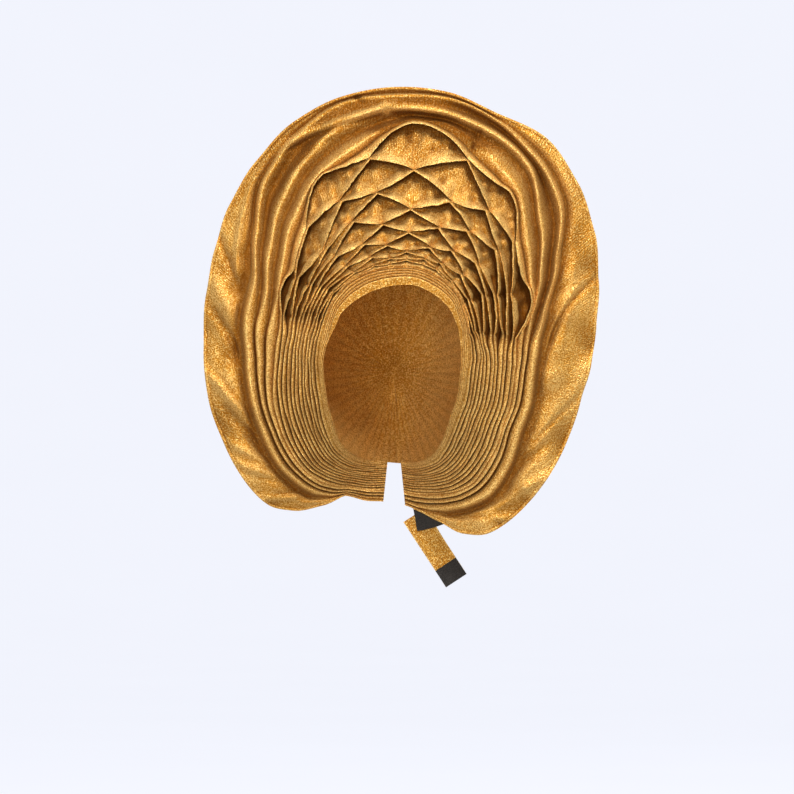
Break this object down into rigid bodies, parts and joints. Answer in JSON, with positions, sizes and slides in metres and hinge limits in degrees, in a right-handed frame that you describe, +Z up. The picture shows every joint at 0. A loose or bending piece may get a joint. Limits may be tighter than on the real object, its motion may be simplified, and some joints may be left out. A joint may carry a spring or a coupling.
{
  "type": "head tie",
  "caption": "Tied gele head tie in stiff gold cloth: pleated halo round the face with honeycomb tacks over the forehead, plain brim and crown wrap.",
  "frame": {"origin": "highest point of the inside of the crown wrap, where the crown of the head carries it", "axes": "+Z up, -Y the way the face looks, +X towards the wearer's left"},
  "size_m": [0.3969, 0.1971, 0.5033],
  "materials": {
    "gold_cloth": "metallic woven sheen",
    "dark_tape": "matt hook and loop tape"
  },
  "bodies": {
    "root": {"brow_band": "gold_cloth", "pleats": "gold_cloth", "outer_folds": "gold_cloth", "brim": "gold_cloth", "crown_wrap": "gold_cloth", "nape_pad": "dark_tape", "tie_strap": "gold_cloth", "strap_tab": "dark_tape"}
  },
  "joints": []
}
